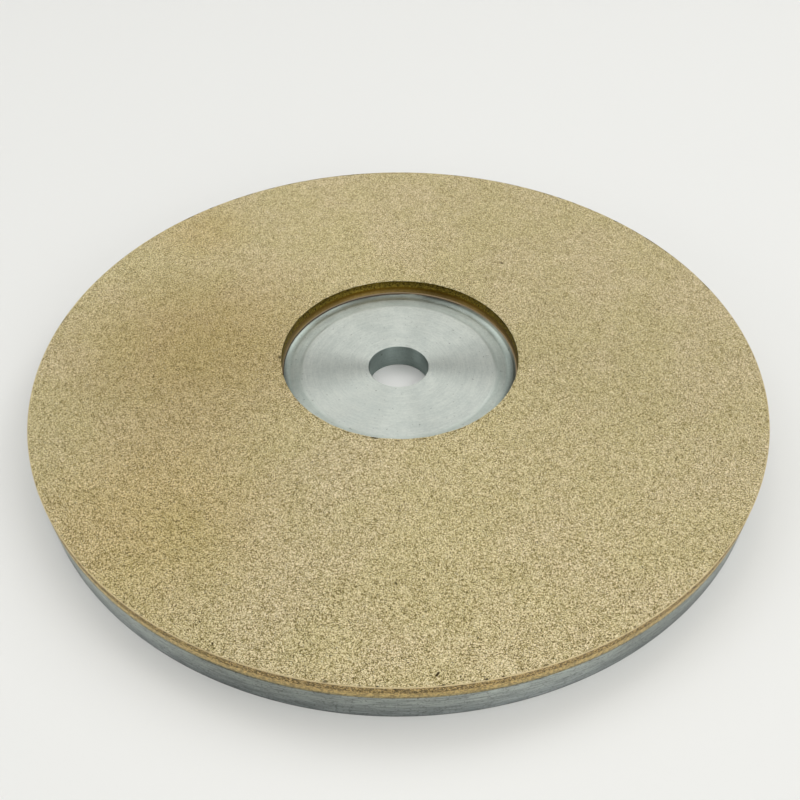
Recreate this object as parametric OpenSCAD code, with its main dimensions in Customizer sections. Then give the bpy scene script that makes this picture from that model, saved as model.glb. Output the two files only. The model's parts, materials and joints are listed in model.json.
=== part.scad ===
// Diamond grinding wheel, face type: a turned aluminium core plate with a ring of
// bronze-bonded diamond glued on its face. It lies on its back face, grinding face up.
// The origin is on the axis, in the plane of the back face. Millimetres, +Z up.

/* [Wheel] */
// Outside diameter
wheel_d = 150; // [125:5:200]
// Overall thickness, from the back face to the tips of the diamonds
wheel_t = 9.5; // [8.5:0.1:12]
// Width of the grinding ring, from the rim to the recess in the middle
ring_w = 50; // [30:1:55]

/* [Layers of the ring] */
// Thickness of the layer that holds diamond
diamond_t = 1.75; // [1:0.05:2.5]
// Thickness of the plain bronze under it, which holds no diamond
backing_t = 1.6; // [1:0.05:2]
// Thickness of the adhesive film between the bronze and the core plate
glue_t = 0.2; // [0.1:0.05:0.3]
// How far the film stops short of the ring's outer edge
glue_inset = 0.15; // [0.05:0.05:0.5]
// Width of the bead that was squeezed out into the corner at the foot of the recess wall
bead_w = 0.3; // [0.1:0.05:0.5]
// Bevel along the two edges of the grinding face
face_bevel = 0.1; // [0.05:0.05:0.3]

/* [Core plate] */
// Bore for a 12.7 mm (half inch) spindle
bore_d = 12.8; // [10.1:0.1:16.1]
// Depth of the turned recess below the face that the ring is glued to
recess_cut = 0.55; // [0.3:0.05:0.8]
// Diameter of the pad that the spindle flange clamps on
pad_d = 41.6; // [20:0.2:42]
// Height of the pad above the band that is turned round it
pad_h = 0.08; // [0.04:0.02:0.2]
// Width of the fillet at the foot of the recess wall
fillet_w = 1.7; // [1:0.1:2]
// Chamfer along the outer edge of the back face
back_chamfer = 0.1; // [0.05:0.05:1]
// Chamfer at both ends of the bore
bore_chamfer = 0.1; // [0.05:0.05:0.5]

/* [Diamond grains] */
// Edge length of a grain
grain_size = 0.2; // [0.1:0.05:0.4]
// How far the tips of the grains stand out of the bond
grain_proud = 0.05; // [0.03:0.01:0.08]
// Number of grains, spread evenly over the face
grain_count = 360; // [60:20:600]

/* [Hidden] */
$fn = 128;

wheel_r = wheel_d / 2;
recess_r = wheel_r - ring_w;
bore_r = bore_d / 2;
pad_r = pad_d / 2;

// Heights of the joints between the layers, from the back face up
bond_z = wheel_t - grain_proud;
diamond_z = wheel_t - diamond_t;
backing_z = diamond_z - backing_t;
core_z = backing_z - glue_t;
pad_z = core_z - recess_cut;
band_z = pad_z - pad_h;

// The fillet starts level with the band and ends where the wall of the recess begins
fillet_h = core_z - band_z;
fillet_r = (fillet_w * fillet_w + fillet_h * fillet_h) / (2 * fillet_h);
fillet_sweep = 2 * atan(fillet_h / fillet_w);
fillet_steps = 8;

// The top of the fillet, from the foot of the wall down to where the bead of adhesive ends
bead_end = -acos((fillet_w - bead_w) / fillet_r);
bead_foot = fillet_arc(fillet_sweep - 90, bead_end, 2);

// The grains lie on a spiral that gives each of them the same area of the face
golden_angle = 137.508;
grain_margin = 0.6;
grain_lo = recess_r + grain_margin;
grain_hi = wheel_r - grain_margin;

// Points along an arc about [x, y], both ends included
function arc(x, y, r, from, to, steps) =
    [for (i = [0:steps]) let (a = from + (to - from) * i / steps) [x + r * cos(a), y + r * sin(a)]];

// Points of the fillet between two angles
function fillet_arc(from, to, steps) =
    arc(recess_r - fillet_w, band_z + fillet_r, fillet_r, from, to, steps);

// A turned aluminium plate: back face, rim, bonding face, fillet, band, clamping pad and bore
module core_plate()
    color("silver")
        rotate_extrude()
            polygon(concat(
                [[bore_r + bore_chamfer, 0],
                 [wheel_r - back_chamfer, 0],
                 [wheel_r, back_chamfer],
                 [wheel_r, core_z],
                 bead_foot[0],
                 bead_foot[1]],
                fillet_arc(bead_end, -90, fillet_steps),
                [[pad_r + pad_h, band_z],
                 [pad_r, pad_z],
                 [bore_r + bore_chamfer, pad_z],
                 [bore_r, pad_z - bore_chamfer],
                 [bore_r, bore_chamfer]]));

// The cured film that holds the ring on the core plate, with its bead in the corner of the recess
module adhesive_film()
    color("darkslategray")
        rotate_extrude()
            polygon([[wheel_r - glue_inset, core_z],
                     [wheel_r - glue_inset, backing_z],
                     [recess_r, backing_z],
                     bead_foot[2],
                     bead_foot[1],
                     bead_foot[0]]);

// Plain bronze, sintered in one pressing with the diamond layer above it
module bronze_backing()
    color("goldenrod")
        rotate_extrude()
            translate([recess_r, backing_z])
                square([ring_w, backing_t]);

// Bronze bond with diamond in it, with a pocket for each grain in its face
module diamond_layer()
    color("darkkhaki")
        difference() {
            rotate_extrude()
                polygon([[recess_r, diamond_z],
                         [wheel_r, diamond_z],
                         [wheel_r, bond_z - face_bevel],
                         [wheel_r - face_bevel, bond_z],
                         [recess_r + face_bevel, bond_z],
                         [recess_r, bond_z - face_bevel]]);
            grains();
        }

// One blocky crystal, tipped over in its own way, with its highest corner level with the others
module grain(i) {
    r = sqrt(grain_lo * grain_lo + (grain_hi * grain_hi - grain_lo * grain_lo) * (i + 0.5) / grain_count);
    tip = (37 * i) % 80 + 5;
    roll = (23 * i) % 80 + 5;
    reach = grain_size / 2 * (sin(roll) + cos(roll) * (sin(tip) + cos(tip)));
    rotate([0, 0, golden_angle * i])
        translate([r, 0, wheel_t - reach])
            rotate([tip, roll, 0])
                cube(grain_size, center = true);
}

module grains()
    for (i = [0:grain_count - 1])
        grain(i);

// The crystals themselves, held in the bond by the bronze round them
module diamond_grains()
    color("khaki")
        grains();

core_plate();
adhesive_film();
bronze_backing();
diamond_layer();
diamond_grains();
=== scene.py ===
import json
import math

import bmesh
import bpy
import numpy as np
from mathutils import Euler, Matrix, Quaternion, Vector, geometry


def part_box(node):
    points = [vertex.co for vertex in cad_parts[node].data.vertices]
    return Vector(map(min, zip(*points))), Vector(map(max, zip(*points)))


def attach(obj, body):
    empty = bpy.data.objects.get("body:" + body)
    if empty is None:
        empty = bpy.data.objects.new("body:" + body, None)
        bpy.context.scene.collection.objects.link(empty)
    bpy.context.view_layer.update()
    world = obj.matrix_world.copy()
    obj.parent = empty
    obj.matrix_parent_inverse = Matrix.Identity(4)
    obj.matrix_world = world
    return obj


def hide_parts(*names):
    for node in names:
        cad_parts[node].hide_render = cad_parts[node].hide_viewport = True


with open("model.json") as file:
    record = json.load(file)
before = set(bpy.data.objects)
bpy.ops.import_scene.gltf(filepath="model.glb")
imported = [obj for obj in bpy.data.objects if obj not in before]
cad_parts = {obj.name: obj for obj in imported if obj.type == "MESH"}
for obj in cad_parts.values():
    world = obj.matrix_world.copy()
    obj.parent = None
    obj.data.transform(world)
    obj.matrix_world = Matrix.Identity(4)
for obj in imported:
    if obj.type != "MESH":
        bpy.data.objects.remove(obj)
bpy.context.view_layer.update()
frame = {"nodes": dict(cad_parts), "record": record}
scene = bpy.context.scene


# ------------------------------------------------------------------ core plate
# The body of the wheel: a disc cut from aluminium bar, faced, bored and recessed on a lathe in one
# setting. The tool leaves fine rings on every surface. The pad round the bore is what the spindle's
# flange clamps; a slightly lower band and a fillet run round it to the foot of the recess wall.

MM = 0.001
_, plate_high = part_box("core_plate")
mounts = {mount["name"]: mount for mount in frame["record"]["mounts"]}


def inner_radius(node):
    """The smallest distance from the wheel's axis to a CAD node."""
    return min(math.hypot(v.co.x, v.co.y) for v in frame["nodes"][node].data.vertices)


rim_r = plate_high.x
joint_z = plate_high.z
bore_r = mounts["arbor_bore"]["dims"]["r_mm"] * MM
pad_z = mounts["clamp_pad"]["pos_m"][2]
recess_r = inner_radius("bronze_backing")
pad_r = 20.8 * MM
pad_h = 0.08 * MM
pad_wear = 0.4 * MM
pad_edge_r = 2 * MM
fillet_w = 1.7 * MM
back_chamfer = 0.04 * MM
bore_chamfer = 0.1 * MM
corner_r = 0.06 * MM
band_z = pad_z - pad_h
plate_step = 0.8 * MM


def arc(r, z, radius, start, end, steps):
    """Points of a profile along an arc about (r, z), from one angle in degrees to another."""
    turns = [math.radians(start + (end - start) * i / steps) for i in range(steps + 1)]
    return [(r + radius * math.cos(t), z + radius * math.sin(t)) for t in turns]


def run(start, end, step):
    """Points of a profile along a straight stretch, without its ends."""
    count = max(1, round(math.dist(start, end) / step))
    return [tuple(a + (b - a) * i / count for a, b in zip(start, end)) for i in range(1, count)]


def unit(way):
    """The vector of length 1 in the same direction."""
    return way / np.linalg.norm(way)


def rounded(corners, step):
    """A closed profile through corners of (r, z, rounding), with evenly spaced points between them."""
    bends = []
    for i, (r, z, radius) in enumerate(corners):
        here = np.array((r, z))
        if radius == 0:
            bends.append([(r, z)])
            continue
        before = unit(np.array(corners[i - 1][:2]) - here)
        after = unit(np.array(corners[(i + 1) % len(corners)][:2]) - here)
        half = math.acos(float(np.clip(before @ after, -1, 1))) / 2
        start = here + before * radius / math.tan(half)
        end = here + after * radius / math.tan(half)
        middle = here + unit(before + after) * radius / math.sin(half)
        chord = [start + (end - start) * k / 4 for k in range(5)]
        bends.append([tuple(middle + unit(point - middle) * radius) for point in chord])
    points = []
    for bend, following in zip(bends, bends[1:] + bends[:1]):
        points += bend
        points += run(bend[-1], following[0], step)
    return points


def turned(name, profile, segments, shift=None):
    """A mesh turned about the wheel's axis from a closed profile of (r, z). If shift is given, it moves
    the points, from their angle, radius and height."""
    angles = np.linspace(0, 2 * math.pi, segments, endpoint=False)
    r, z = np.array(profile).T
    turn, radius = np.meshgrid(angles, r, indexing="ij")
    height = np.broadcast_to(z, turn.shape).copy()
    if shift:
        radius, height = shift(turn, radius, height)
    points = np.stack([radius * np.cos(turn), radius * np.sin(turn), height], -1)
    here = np.arange(points[..., 0].size).reshape(turn.shape)
    ahead = np.roll(here, -1, axis=0)
    up = np.roll(here, -1, axis=1)
    quads = np.stack([here, ahead, np.roll(ahead, -1, axis=1), up], -1)
    return solid(name, points.reshape(-1, 3), quads.reshape(-1, 4))


def solid(name, points, faces, smooth=True):
    """An object from points and faces, with its faces turned outwards. Edges sharper than 40 degrees
    stay sharp, and without smooth all of them do."""
    mesh = bpy.data.meshes.new(name)
    mesh.from_pydata(np.asarray(points).tolist(), [], [list(map(int, f)) for f in faces])
    work = bmesh.new()
    work.from_mesh(mesh)
    bmesh.ops.recalc_face_normals(work, faces=work.faces)
    work.to_mesh(mesh)
    work.free()
    if smooth:
        mesh.shade_smooth()
        mesh.set_sharp_from_angle(angle=math.radians(40))
    made = bpy.data.objects.new(name, mesh)
    scene.collection.objects.link(made)
    return made


def place(piece, node, material):
    """The piece stands for a CAD node, rides with the wheel and takes a material."""
    piece.data.materials.append(material)
    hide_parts(node)
    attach(piece, "root")


class Wire:
    """A socket of a node tree. Arithmetic on it adds Math nodes, and node() adds any other node."""

    def __init__(self, tree, socket=None):
        self.tree = tree
        self.socket = socket

    def node(self, kind, settings=None, sockets=None, out=0):
        """Adds a node of a kind, sets its settings, then its sockets, and returns one of its outputs."""
        made = self.tree.nodes.new("ShaderNode" + kind)
        for name, value in (settings or {}).items():
            if name == "stops":
                self.stops(made.color_ramp, value)
            else:
                setattr(made, name, value)
        for name, value in (sockets or {}).items():
            if isinstance(value, Wire):
                self.tree.links.new(value.socket, made.inputs[name])
            else:
                made.inputs[name].default_value = value
        return Wire(self.tree, made.outputs[out] if len(made.outputs) else None)

    @staticmethod
    def stops(ramp, stops):
        """Gives a ramp its stops, each a place and a colour."""
        while len(ramp.elements) < len(stops):
            ramp.elements.new(0.5)
        for element, (position, colour) in zip(ramp.elements, stops):
            element.position = position
            element.color = (*colour, 1)

    def maths(self, operation, *values):
        return self.node("Math", {"operation": operation}, dict(enumerate(values)))

    def __add__(self, other):
        return self.maths("ADD", self, other)

    def __sub__(self, other):
        return self.maths("SUBTRACT", self, other)

    def __mul__(self, other):
        return self.maths("MULTIPLY", self, other)

    def __pow__(self, other):
        return self.maths("POWER", self, other)

    def __rsub__(self, other):
        return self.maths("SUBTRACT", other, self)

    __radd__ = __add__
    __rmul__ = __mul__

    def ramp(self, low, high):
        """0 below low, 1 above high and a soft step between them."""
        settings = {"interpolation_type": "SMOOTHSTEP"}
        return self.node("MapRange", settings, {"Value": self, "From Min": low, "From Max": high})


def noise(at, size, detail=2.0, roughness=0.5, out=0):
    """Noise with features of about that size in metres. Output 0 is its value and 1 its colour."""
    sockets = {"Vector": at, "Scale": 1 / size, "Detail": detail, "Roughness": roughness}
    return at.node("TexNoise", {}, sockets, out)


def distance(at, point):
    """How far a surface point is from a fixed one."""
    return at.node("VectorMath", {"operation": "DISTANCE"}, {0: at, 1: point}, out="Value")


def blend(mask, first, second, how="MIX"):
    """The first colour where mask is 0, and at 1 the second, or their product if how is MULTIPLY.
    Colours are linear red, green and blue."""
    settings = {"data_type": "RGBA", "blend_type": how}
    sides = [c if isinstance(c, Wire) else (*c, 1) for c in (first, second)]
    return mask.node("Mix", settings, {0: mask, 6: sides[0], 7: sides[1]}, out=2)


def finish(name, **fixed):
    """A new material with some of its shader's sockets set. Returns it, a start for its nodes, and a
    function that links the shader's other sockets."""
    material = bpy.data.materials.new(name)
    material.use_nodes = True
    shader = material.node_tree.nodes["Principled BSDF"]
    for socket, value in fixed.items():
        shader.inputs[socket.replace("_", " ")].default_value = value

    def link(**wires):
        for socket, wire in wires.items():
            material.node_tree.links.new(wire.socket, shader.inputs[socket.replace("_", " ")])

    return material, Wire(material.node_tree), link


def bump(height, depth, strength=1.0):
    """A normal from a height between 0 and 1 that stands for that depth in metres."""
    return height.node("Bump", {}, {"Height": height, "Distance": depth, "Strength": strength})


def lathe(start):
    """Where a surface point is, its distance from the axis, its height, and a point that changes fast
    across the tool's rings and slowly along them."""
    at = start.node("TexCoord", out="Object")
    across = [at.node("SeparateXYZ", {}, {0: at}, out=axis) for axis in range(3)]
    radius = (across[0] * across[0] + across[1] * across[1]) ** 0.5
    rings = at.node("CombineXYZ", {}, {0: (radius + across[2]) * 12, 1: across[0], 2: across[1]})
    return at, radius, across[2], rings


def plate_profile():
    """The plate's outline, with the fillet tangent to the band and rising to the foot of the wall."""
    rise = joint_z - band_z
    fillet_r = (fillet_w**2 + rise**2) / (2 * rise)
    sweep = 2 * math.degrees(math.atan(rise / fillet_w))
    curve = arc(recess_r - fillet_w, band_z + fillet_r, fillet_r, -90 + sweep, -90, 10)
    corners = [
        (bore_r + bore_chamfer, 0, corner_r),
        (rim_r - back_chamfer, 0, corner_r / 2),
        (rim_r, back_chamfer, corner_r / 2),
        (rim_r, joint_z, corner_r),
        *((r, z, 0) for r, z in curve),
        (pad_r + pad_wear, band_z, pad_edge_r),
        (pad_r - pad_wear / 2, pad_z, pad_edge_r),
        (bore_r + bore_chamfer, pad_z, corner_r),
        (bore_r, pad_z - bore_chamfer, corner_r),
        (bore_r, bore_chamfer, corner_r),
    ]
    return rounded(corners, plate_step)


def turned_aluminium():
    """Bare aluminium off the lathe, with rings of slightly different shine, smears and specks of dirt.
    The bore is duller than the pad, and so is the band. The fillet and the corner at the foot of the
    recess wall are darker still: painted shade in the hollow under the wall. The rim is streaked, darker
    towards the back face as painted shade, and along its lower edge both grimy and painted with
    contact shadow."""
    fixed = {"Metallic": 1.0, "Anisotropic": 0.9, "Anisotropic_Rotation": 0.25}
    material, start, link = finish("turned_aluminium", **fixed)
    at, radius, height, rings = lathe(start)
    coarse = noise(rings, 6 * MM, 3, 0.6)
    fine = noise(rings, 2 * MM, 2, 0.6)
    streak = noise(rings, 4 * MM, 3, 0.7)
    smear = noise(at, 4 * MM, 4, 0.65)
    mottle = noise(at, 0.5 * MM, 3, 0.7)
    dirt = noise(at, 0.9 * MM, 2, 0.7).ramp(0.66, 0.73)
    tone = 0.25 * coarse + 0.2 * fine + 0.35 * smear + 0.2 * mottle
    metal = blend(tone.ramp(0.3, 0.7), (0.440, 0.480, 0.445), (0.650, 0.680, 0.625))

    rim = radius.ramp(rim_r - 0.5 * MM, rim_r - 0.1 * MM)
    bore = 1 - radius.ramp(bore_r + 0.03 * MM, bore_r + 0.1 * MM)
    inside = 1 - radius.ramp(recess_r, recess_r + 1 * MM)
    worn = radius + 2.5 * MM * (smear - 0.5)
    band = inside * worn.ramp(pad_r - 0.5 * MM, pad_r + 0.6 * MM)
    # The fillet and corner masks darken the hollow at the foot of the recess wall: painted shade.
    fillet = inside * radius.ramp(recess_r - 2.1 * MM, recess_r - 1.6 * MM)
    shaded_corner = inside * radius.ramp(recess_r - 0.65 * MM, recess_r - 0.25 * MM)
    # The rim's colour runs darker towards the back face: painted shade from the floor's contact shadow.
    rim_tone = blend(height.ramp(0, joint_z), (0.56, 0.58, 0.61), (0.785, 0.80, 0.795))
    rim_tone = blend(streak.ramp(0.36, 0.64), rim_tone, (0.62, 0.62, 0.63), "MULTIPLY")
    rim_tone = blend(mottle.ramp(0.50, 0.66), rim_tone, (0.56, 0.56, 0.56), "MULTIPLY")
    # Along the rim's lower edge: partly grime, partly painted contact shadow.
    grime_and_contact_shade = rim * (1 - height.ramp(0.05 * MM, 0.4 * MM))
    for mask, tint in (
        (rim, rim_tone),
        (grime_and_contact_shade, (0.42, 0.42, 0.41)),
        (bore, (0.48, 0.54, 0.55)),
        (band, (0.82, 0.85, 0.84)),
        (fillet, (0.80, 0.83, 0.83)),
        (shaded_corner, (0.55, 0.53, 0.49)),
    ):
        metal = blend(mask, metal, tint, "MULTIPLY")
    link(
        Base_Color=blend(0.6 * dirt, metal, (0.12, 0.125, 0.11)),
        Roughness=0.26 + 0.14 * coarse + 0.18 * smear - 0.1 * fillet,
        Normal=bump(0.4 * fine + 0.4 * coarse + 0.2 * mottle, 0.014 * MM, 0.6),
    )
    return material


core_plate = turned("core_plate_turned", plate_profile(), segments=360)
place(core_plate, "core_plate", turned_aluminium())


# --------------------------------------------------------------- adhesive film
# Two-part epoxy, spread thin and cured under a press. What squeezed out at the rim was turned off with
# it. In the corner of the recess it has stayed as a small bead, wider on the side where the ring's hole
# stands further from the plate's axis.

film_low, film_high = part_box("adhesive_film")
film_outer = film_high.x
film_inner = inner_radius("adhesive_film")
film_foot = film_high.z - 0.2 * MM
hole_shift = 0.27 * MM


def off_centre(turn, radius, share=1.0):
    """The radius of the ring's hole. The hole is as it was moulded, not turned, so its middle lies a
    little off the axis, towards +X."""
    return radius + share * hole_shift * np.cos(turn)


def squeezed(turn, radius, height):
    """The film's outer edge wanders a little. Its inner one follows the ring's hole, and the bead's
    foot follows half as far."""
    swing = 0.5 * np.sin(9 * turn + 1) + 0.3 * np.sin(23 * turn) + 0.2 * np.sin(61 * turn + 2)
    foot = off_centre(turn, radius, 0.5) + 0.05 * MM * swing
    inside = np.where(radius < recess_r - 0.01 * MM, foot, off_centre(turn, radius))
    outside = radius + 0.04 * MM * (swing - 1)
    return np.where(radius < recess_r + 1 * MM, inside, outside), height


def cured_adhesive():
    """Dull brown resin with fine filler in it. Low in the corner of the recess it is painted nearly
    black: painted shade in the crevice at the bead's foot.
    """
    material, start, link = finish("cured_adhesive")
    at, radius, height, _ = lathe(start)
    filler = noise(at, 0.2 * MM, 3, 0.6)
    rim = radius.ramp(recess_r + 1 * MM, film_outer - 1 * MM)
    # The nearly black colour low in the corner is painted shade in the crevice at the bead's foot.
    shaded_corner = blend(filler.ramp(0.3, 0.7), (0.026, 0.018, 0.011), (0.06, 0.042, 0.026))
    upper = height.ramp(film_low.z + 0.14 * MM, film_low.z + 0.32 * MM)
    bead = blend(upper, shaded_corner, (0.32, 0.24, 0.135))
    link(
        Base_Color=blend(rim, bead, (0.30, 0.26, 0.16)),
        Roughness=0.5 + 0.3 * filler,
        Normal=bump(filler, 0.03 * MM, 0.6),
    )
    return material


film_profile = rounded(
    [
        (recess_r + 0.4 * MM, film_foot, 0),
        (film_outer, film_foot, 0),
        (film_outer, film_high.z, 0),
        (recess_r, film_high.z, 0),
        (recess_r - 0.15 * MM, film_high.z - 0.26 * MM, 0),
        (film_inner, film_low.z, 0),
    ],
    5 * MM,
)
adhesive_film = turned("adhesive_film_cured", film_profile, segments=720, shift=squeezed)
place(adhesive_film, "adhesive_film", cured_adhesive())


# -------------------------------------------------------------- bronze backing
# Plain bronze powder, pressed and sintered in one piece with the diamond layer and then ground flat
# and round. It holds no diamond, so it shows as a smooth golden band. The line between the two
# powders wanders a little.

backing_low, backing_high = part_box("bronze_backing")
seam_wander = 0.05 * MM
backing_edge_r = 0.12 * MM


def seam(turn):
    """Height of the line between the two powders at an angle round the wheel."""
    swing = np.sin(5 * turn + 2) + 0.7 * np.sin(17 * turn) + 0.5 * np.sin(41 * turn + 1)
    return backing_high.z + seam_wander * swing / 2


def wandering(turn, radius, height):
    """The bronze's top follows the seam, and its hole is off centre."""
    radius = np.where(radius < recess_r + 0.5 * MM, off_centre(turn, radius), radius)
    return radius, np.where(height > backing_high.z - 0.01 * MM, seam(turn), height)


def plain_bronze():
    """Ground bronze, golden, with fine lines round the wheel, darker and greyer low on the rim. The
    recess wall is dark bronze, painted lighter towards its foot: a painted reflection of the bright
    recess floor.
    """
    fixed = {"Metallic": 1.0, "Anisotropic": 0.5, "Anisotropic_Rotation": 0.25}
    material, start, link = finish("plain_bronze", **fixed)
    at, radius, height, rings = lathe(start)
    lines = noise(rings, 1.5 * MM, 3, 0.6)
    stain = noise(at, 3 * MM, 2, 0.5)
    powder = noise(at, 0.45 * MM, 2, 0.65)
    wall = 1 - radius.ramp(recess_r + 1 * MM, recess_r + 2 * MM)
    colour = blend(0.5 * lines + 0.5 * stain, (0.52, 0.37, 0.146), (0.81, 0.63, 0.278))
    colour = blend(powder.ramp(0.39, 0.61), colour, (0.52, 0.52, 0.52), "MULTIPLY")
    low = 1 - height.ramp(backing_low.z + 0.2 * MM, backing_low.z + 0.8 * MM)
    smeared = blend(low, colour, (0.66, 0.72, 0.85), "MULTIPLY")
    # The recess wall is painted lighter towards its foot: a painted reflection of the bright recess
    # floor.
    up = height.ramp(backing_low.z - 0.3 * MM, backing_low.z + 1.3 * MM)
    moulded = blend(up, (0.62, 0.41, 0.155), (0.19, 0.105, 0.011))
    moulded = blend(powder.ramp(0.36, 0.64), moulded, (0.80, 0.80, 0.80), "MULTIPLY")
    link(
        Base_Color=blend(wall, smeared, moulded),
        Roughness=0.34 + 0.2 * lines,
        Normal=bump(0.5 * lines + 0.5 * powder, 0.015 * MM, 0.5),
    )
    return material


backing_profile = rounded(
    [
        (recess_r, backing_low.z, backing_edge_r),
        (rim_r, backing_low.z, backing_edge_r / 2),
        (rim_r, backing_high.z, 0),
        (recess_r, backing_high.z, 0),
    ],
    2 * MM,
)
bronze_backing = turned("bronze_backing_ground", backing_profile, segments=720, shift=wandering)
place(bronze_backing, "bronze_backing", plain_bronze())


# --------------------------------------------------------------- diamond layer
# Bronze powder and diamond, hot-pressed into one ring and dressed flat with a silicon carbide stick,
# which leaves the metal torn and granular, with a few pits where grains came out. The rim is ground.
# The recess wall is as it left the mould, dark and smoother, and its top edge is nicked.

bond_low, bond_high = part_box("diamond_layer")
rng = np.random.default_rng(7)
around = 720
edge_r = 0.12 * MM
shoulder_z = bond_high.z - edge_r
grit_gap = 0.5 * MM
grit_clear = 0.3 * MM
relief = 0.016 * MM
wall_relief = 0.018 * MM


def scattered(gap, inner, outer):
    """Points over a flat ring, about that far apart, on a staggered grid that has been shaken."""
    row = gap * math.sqrt(3) / 2
    lines = int(outer / row) + 1
    i, j = np.meshgrid(np.arange(-lines, lines + 1), np.arange(-lines, lines + 1), indexing="ij")
    points = np.stack([(i + 0.5 * (j % 2)) * gap, j * row], -1).reshape(-1, 2)
    points = points + rng.uniform(-0.3 * gap, 0.3 * gap, points.shape)
    away = np.hypot(*points.T)
    return points[(away > inner) & (away < outer)]


def pit(from_axis, angle, length, width, lean):
    """A hole where a cluster of grains came out, long in the direction of lean. Returns its middle, its
    width and its points of (x, y, depth), with the depth from 0 to 1."""
    angle, lean = math.radians(angle), math.radians(lean)
    middle = np.array([from_axis * math.cos(angle), from_axis * math.sin(angle)])
    along = np.array([math.cos(lean), math.sin(lean)])
    beside = np.array([-along[1], along[0]])
    points = [(*middle, 1.0)]
    for share, depth, count in ((0.75, 0.9, 8), (1.0, 0.0, 12)):
        for k in range(count):
            t = 2 * math.pi * k / count
            way = along * length / 2 * math.cos(t) + beside * width / 2 * math.sin(t)
            points.append((*(middle + way * share), depth))
    return middle, width, points


def pits():
    """The pits of the face: a few that stand out, and small ones all over it."""
    made = [
        pit(73.0 * MM, -85.5, 1.1 * MM, 0.45 * MM, 55),
        pit(40.5 * MM, 52.5, 1.1 * MM, 0.6 * MM, -15),
        pit(73.5 * MM, -113, 0.5 * MM, 0.36 * MM, 100),
        pit(57.0 * MM, -90.5, 0.8 * MM, 0.28 * MM, -40),
    ]
    nearest = recess_r + 1.2 * MM
    furthest = rim_r - 1.2 * MM
    for _ in range(90):
        from_axis = math.sqrt(rng.uniform(nearest**2, furthest**2))
        length = rng.uniform(0.2, 0.45) * MM
        angle = rng.uniform(0, 360)
        width = length * rng.uniform(0.5, 0.9)
        made.append(pit(from_axis, angle, length, width, rng.uniform(0, 180)))
    return made


def nicks(count, depth):
    """How far the top edge is broken away at each step round the ring."""
    broken = np.zeros(around)
    for start in rng.integers(0, around, count):
        width = int(rng.integers(1, 4))
        broken[np.arange(start, start + width) % around] += depth * rng.uniform(0.3, 1)
    return broken


def wall_loops(turn, inner):
    """One wall of the ring as loops of points, from the seam up and over the nicked top edge."""
    side = -1 if inner else 1
    wall_r = recess_r if inner else rim_r
    foot = seam(turn)
    broken = nicks(60, 0.22 * MM) if inner else nicks(24, 0.06 * MM)
    rows = [(0, foot + (shoulder_z - foot) * share, 0) for share in (0.12, 0.32, 0.55, 0.78)]
    for t in np.radians([0, 22, 45, 68, 90]):
        rows.append((edge_r * (1 - math.cos(t)), shoulder_z + edge_r * math.sin(t), math.sin(t)))
    loops = [(np.full(around, wall_r), foot)]
    for inset, height, wear in rows:
        shake = rng.uniform(-1, 0, around) * wall_relief
        sink = rng.uniform(-1, 0, around) * relief * wear
        back = broken * wear * (1.3 if wear > 0.5 else 1.0)
        loops.append((wall_r + side * (shake - back - inset), height + sink - 0.6 * back))
    placed = [(off_centre(turn, r) if inner else r, z) for r, z in loops]
    return [np.stack([r * np.cos(turn), r * np.sin(turn), z], -1) for r, z in placed]


def between(lower, upper):
    """The four-sided faces between two loops, given by the numbers of their points."""
    return np.stack([lower, np.roll(lower, -1), np.roll(upper, -1), upper], -1).tolist()


def dressed_face(edges):
    """Loose points and pits all over the face, and the triangles between them and its two edges. edges
    holds the points of the outer edge and then those of the inner one. The triangles number those
    first and then the new points."""
    holes = pits()
    loose = scattered(grit_gap, recess_r + hole_shift + 2 * edge_r, rim_r - 2 * edge_r)
    for middle, width, _ in holes:
        loose = loose[np.hypot(*(loose - middle).T) > width / 2 + grit_clear]
    sunk = 2 * relief * rng.uniform(0, 1, len(loose)) ** 2
    inside = [np.column_stack([loose, bond_high.z - sunk])]
    for _, _, hole in holes:
        inside.append(np.array(hole) * (1, 1, -rng.uniform(0.08, 0.16) * MM) + (0, 0, bond_high.z))
    every = np.concatenate([edges, *inside])
    start = np.arange(around)
    fence = np.stack([start, np.roll(start, -1)], -1)
    fence = np.concatenate([fence, fence + around]).tolist()
    flat = [tuple(point) for point in every[:, :2].tolist()]
    placed, _, triangles, source, _, _ = geometry.delaunay_2d_cdt(flat, fence, [], 0, 1e-9)
    number = [min(names) for names in source]
    kept = []
    for triangle in triangles:
        middle = np.mean([placed[i] for i in triangle], axis=0)
        if math.hypot(middle[0] - hole_shift, middle[1]) > recess_r:
            kept.append([number[i] for i in triangle])
    return every[2 * around :], kept


def granular_ring():
    """The whole ring as one mesh: its two walls, its underside and the dressed face."""
    turn = np.linspace(0, 2 * math.pi, around, endpoint=False)
    points = []
    faces = []
    feet = []
    tops = []
    for inner in (False, True):
        loops = wall_loops(turn, inner)
        rows = np.arange(len(loops) * around).reshape(-1, around) + len(points)
        for lower, upper in zip(rows, rows[1:]):
            faces += between(lower, upper)
        points += np.concatenate(loops).tolist()
        feet.append(rows[0])
        tops.append(rows[-1])
    faces += between(*feet)
    tops = np.concatenate(tops).tolist()
    inside, triangles = dressed_face(np.array([points[i] for i in tops]))
    numbers = tops + list(range(len(points), len(points) + len(inside)))
    faces += [[numbers[i] for i in triangle] for triangle in triangles]
    return points + inside.tolist(), faces


# Broad tints of the face. The first is partly a brown stain and partly painted shade, the face's left
# side darker where less light falls on it; the other two are brown stains.
stains_and_shade = (
    (-42 * MM, 2 * MM, 40 * MM, (0.865, 0.80, 0.66)),
    (-44 * MM, -42 * MM, 32 * MM, (0.93, 0.88, 0.74)),
    (-49 * MM, 46 * MM, 17 * MM, (0.95, 0.91, 0.80)),
)


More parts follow.
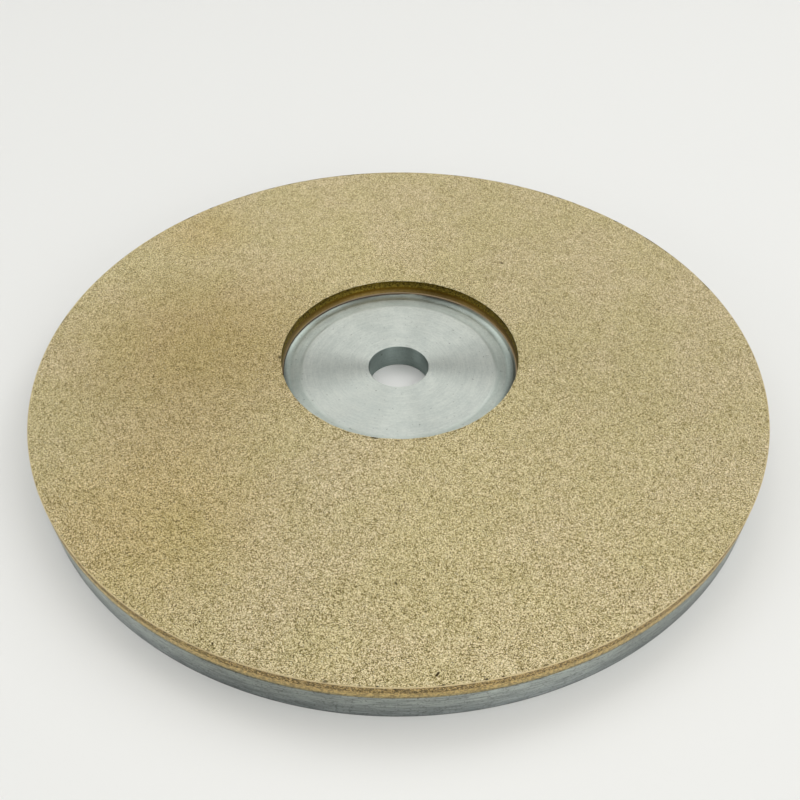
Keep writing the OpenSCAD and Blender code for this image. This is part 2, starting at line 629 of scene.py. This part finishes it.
def diamond_bronze():
    """Dressed bronze and diamond: a salt-and-pepper grain with yellower patches, brown stains and fine
    tracks round the wheel. The first stain is also painted shade, the face's left side darker and
    browner where less light falls on it. The rim is browner, with a painted highlight along its top
    edge, and the recess wall is dark, painted darker still towards its top edge as shade. Pits are
    painted nearly black as shade in the holes."""
    fixed = {"Anisotropic": 0.7, "Anisotropic_Rotation": 0.25}
    material, start, link = finish("diamond_bronze", **fixed)
    at, radius, height, rings = lathe(start)
    cell_at = {"Vector": at, "Scale": 1 / (0.14 * MM), "Randomness": 1.0}
    cell = at.node("TexVoronoi", {}, cell_at, out="Color")
    pick = at.node("SeparateColor", {}, {0: cell}, out=0)
    crumb = noise(at, 0.12 * MM, 2, 0.65)
    grit = noise(at, 0.42 * MM, 2, 0.7)
    tracks = noise(rings, 5 * MM, 2, 0.6)
    patch = noise(at, 16 * MM, 3, 0.55)
    drift = noise(at, 2.2 * MM, 2, 0.5)
    grain = 1.28 * pick**0.5 + 1.04 * crumb.ramp(0.33, 0.67)
    shade = grain + 0.22 * drift + 0.2 * (tracks - 0.5) - 0.97
    stops = [
        (0.05, (0.089, 0.061, 0.008)),
        (0.28, (0.288, 0.219, 0.064)),
        (0.50, (0.515, 0.418, 0.189)),
        (0.72, (0.695, 0.582, 0.333)),
        (0.95, (0.875, 0.770, 0.540)),
    ]
    bond = at.node("ValToRGB", {"stops": stops}, {0: shade})
    tinted = blend(patch.ramp(0.35, 0.65), bond, (0.96, 0.975, 0.90), "MULTIPLY")
    for x, y, reach, tint in stains_and_shade:
        away = distance(at, (x, y, bond_high.z))
        tinted = blend(1 - away.ramp(0.1 * reach, reach), tinted, tint, "MULTIPLY")

    face = height.ramp(bond_high.z - 0.22 * MM, bond_high.z - 0.12 * MM)
    outside = radius.ramp(rim_r - 0.25 * MM, rim_r - 0.1 * MM)
    # A painted highlight along the rim's rounded top edge.
    edge_highlighted = blend(outside * face, tinted, (0.62, 0.51, 0.29))
    ground = blend(outside * (1 - face), edge_highlighted, (0.88, 0.75, 0.55), "MULTIPLY")
    ground = blend(outside * (1 - face) * grit.ramp(0.39, 0.61), ground, (0.32, 0.32, 0.32), "MULTIPLY")

    flat = at.node("VectorMath", {"operation": "MULTIPLY"}, {0: at, 1: (1, 1, 0)})
    from_hole = distance(flat, (hole_shift, 0, 0))
    below = 1 - height.ramp(bond_high.z - 0.09 * MM, bond_high.z - 0.045 * MM)
    wall = (1 - from_hole.ramp(recess_r + 0.3 * MM, recess_r + 0.4 * MM)) * below
    # Pits are painted nearly black: painted shade in the holes.
    sunk = 1 - height.ramp(bond_high.z - 0.065 * MM, bond_high.z - 0.038 * MM)
    pit_shade = sunk * from_hole.ramp(recess_r + 0.9 * MM, recess_r + 1.0 * MM)
    pit_shade = pit_shade * (1 - radius.ramp(rim_r - 0.9 * MM, rim_r - 0.8 * MM))
    # The recess wall is painted darker towards its top edge: painted shade.
    wall_top_shade = height.ramp(bond_low.z, bond_high.z)
    moulded = blend(grit.ramp(0.3, 0.7), (0.066, 0.044, 0.006), (0.345, 0.248, 0.036))
    moulded = blend(wall_top_shade, moulded, (0.55, 0.55, 0.6), "MULTIPLY")
    link(
        Base_Color=blend(wall, blend(pit_shade, ground, (0.06, 0.038, 0.008)), moulded),
        Metallic=0.55 - 0.3 * pick.ramp(0.7, 0.8) * (1 - wall) + 0.4 * wall,
        Roughness=0.48 + 0.22 * crumb + 0.1 * pick,
        Normal=bump(0.5 * crumb + 0.5 * pick, 0.06 * MM, 0.6),
    )
    return material


diamond_layer = solid("diamond_layer_dressed", *granular_ring())
place(diamond_layer, "diamond_layer", diamond_bronze())


# -------------------------------------------------------------- diamond grains
# Synthetic diamond, blocky crystals a quarter of a millimetre across, held in the bond by the metal
# round them. Dressing has worn the bond back, so that they stand a little proud of it.

_, grains_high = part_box("diamond_grains")
grain_count = 15000
grain_size = 0.25 * MM


def crystals():
    """Every exposed crystal as a squat octahedron, tipped its own way, with its top just out of the
    bond."""
    corners = np.array([(1, 0, 0), (-1, 0, 0), (0, 1, 0), (0, -1, 0), (0, 0, 1), (0, 0, -1)], float)
    upper = [(0, 2, 4), (2, 1, 4), (1, 3, 4), (3, 0, 4)]
    lower = [(2, 0, 5), (1, 2, 5), (3, 1, 5), (0, 3, 5)]
    nearest = recess_r + 0.4 * MM
    furthest = rim_r - 0.4 * MM
    away = np.sqrt(rng.uniform(nearest**2, furthest**2, grain_count))
    angle = rng.uniform(0, 2 * math.pi, grain_count)
    spin, _ = np.linalg.qr(rng.normal(size=(grain_count, 3, 3)))
    size = grain_size / 2 * rng.uniform(0.75, 1.1, (grain_count, 1, 1))
    size = size * rng.uniform(0.8, 1.1, (grain_count, 1, 3))
    shape = (corners * size) @ spin
    proud = rng.uniform(0.1, 1, grain_count) * (grains_high.z - bond_high.z)
    lift = bond_high.z + proud - shape[:, :, 2].max(1)
    centre = np.stack([away * np.cos(angle), away * np.sin(angle), lift], -1)
    points = (shape + centre[:, None]).reshape(-1, 3)
    faces = (np.array(upper + lower) + 6 * np.arange(grain_count)[:, None, None]).reshape(-1, 3)
    return points, faces


def diamond():
    """Yellow-green to grey crystal, glassy on its faces."""
    material, start, link = finish("diamond", IOR=2.1)
    at = start.node("TexCoord", out="Object")
    each = noise(at, 0.6 * MM, 1, 0.5)
    link(
        Base_Color=blend(each.ramp(0.3, 0.7), (0.16, 0.14, 0.07), (0.55, 0.50, 0.34)),
        Roughness=0.18 + 0.25 * each,
    )
    return material


diamond_grains = solid("diamond_grains_proud", *crystals(), smooth=False)
place(diamond_grains, "diamond_grains", diamond())


# ---------------------------------------------------------------------- studio
# A plain pale floor under soft light, and the camera that looks down on the wheel from close by. The
# backdrop is as pale as the floor where it is seen, and gives little light.

floor_reach = 0.85
floor_corners = [(x * floor_reach, y * floor_reach, 0) for x, y in ((-1, -1), (1, -1), (1, 1), (-1, 1))]
floor_mesh = bpy.data.meshes.new("floor")
floor_mesh.from_pydata(floor_corners, [], [(0, 1, 2, 3)])
floor = bpy.data.objects.new("floor", floor_mesh)
floor.location.z = -0.02 * MM
scene.collection.objects.link(floor)
floor_paint, _, _ = finish("floor_paint", Base_Color=(0.80, 0.80, 0.775, 1), Roughness=0.8)
floor_mesh.materials.append(floor_paint)


light_away = 1.2


def softbox(name, azimuth, elevation, size, power):
    """A square soft light that faces the wheel. The azimuth counts from +X towards +Y."""
    lamp = bpy.data.lights.new(name, "AREA")
    lamp.shape = "SQUARE"
    lamp.size = size
    lamp.energy = power
    made = bpy.data.objects.new(name, lamp)
    turn = Euler((0, math.radians(90 - elevation), math.radians(azimuth)))
    made.location = turn.to_matrix() @ Vector((0, 0, light_away))
    made.rotation_euler = turn
    made.visible_camera = False
    scene.collection.objects.link(made)


for light in (
    ("high_behind", 90, 70, 0.6, 1.01),
    ("behind", 90, 55, 0.6, 1.55),
    ("high_behind_left", 135, 60, 0.6, 1.32),
    ("behind_left", 138, 42, 0.5, 1.15),
    ("high_behind_right", 45, 60, 0.6, 0.28),
    ("behind_right", 42, 42, 0.5, 1.97),
    ("front", 270, 55, 0.7, 4.13),
    ("high_right", 0, 55, 0.6, 2.09),
    ("right", 0, 30, 0.8, 1.33),
    ("left", 180, 30, 0.8, 1.41),
    ("low_front_left", 205, 12, 0.6, 2.28),
    ("low_front_right", 305, 15, 0.7, 4.36),
):
    softbox(*light)

world = bpy.data.worlds.new("studio")
world.use_nodes = True
backdrop = world.node_tree.nodes["Background"]
backdrop.inputs["Color"].default_value = (1.0, 1.0, 0.975, 1)
in_view = Wire(world.node_tree).node("LightPath")
world.node_tree.links.new((0.64 * in_view + 0.185).socket, backdrop.inputs["Strength"])
scene.world = world
scene.view_settings.view_transform = "Standard"

camera = bpy.data.objects.new("camera", bpy.data.cameras.new("camera"))
camera.location = (0.00005, -0.1320, 0.1256)
tilt = Euler((math.radians(90 - 44.67), 0, math.radians(-0.11))).to_quaternion()
camera.rotation_mode = "QUATERNION"
camera.rotation_quaternion = tilt @ Quaternion((0, 0, 1), math.radians(-0.07))
camera.data.lens = 37.28
camera.data.clip_start = 0.01
scene.collection.objects.link(camera)
scene.camera = camera
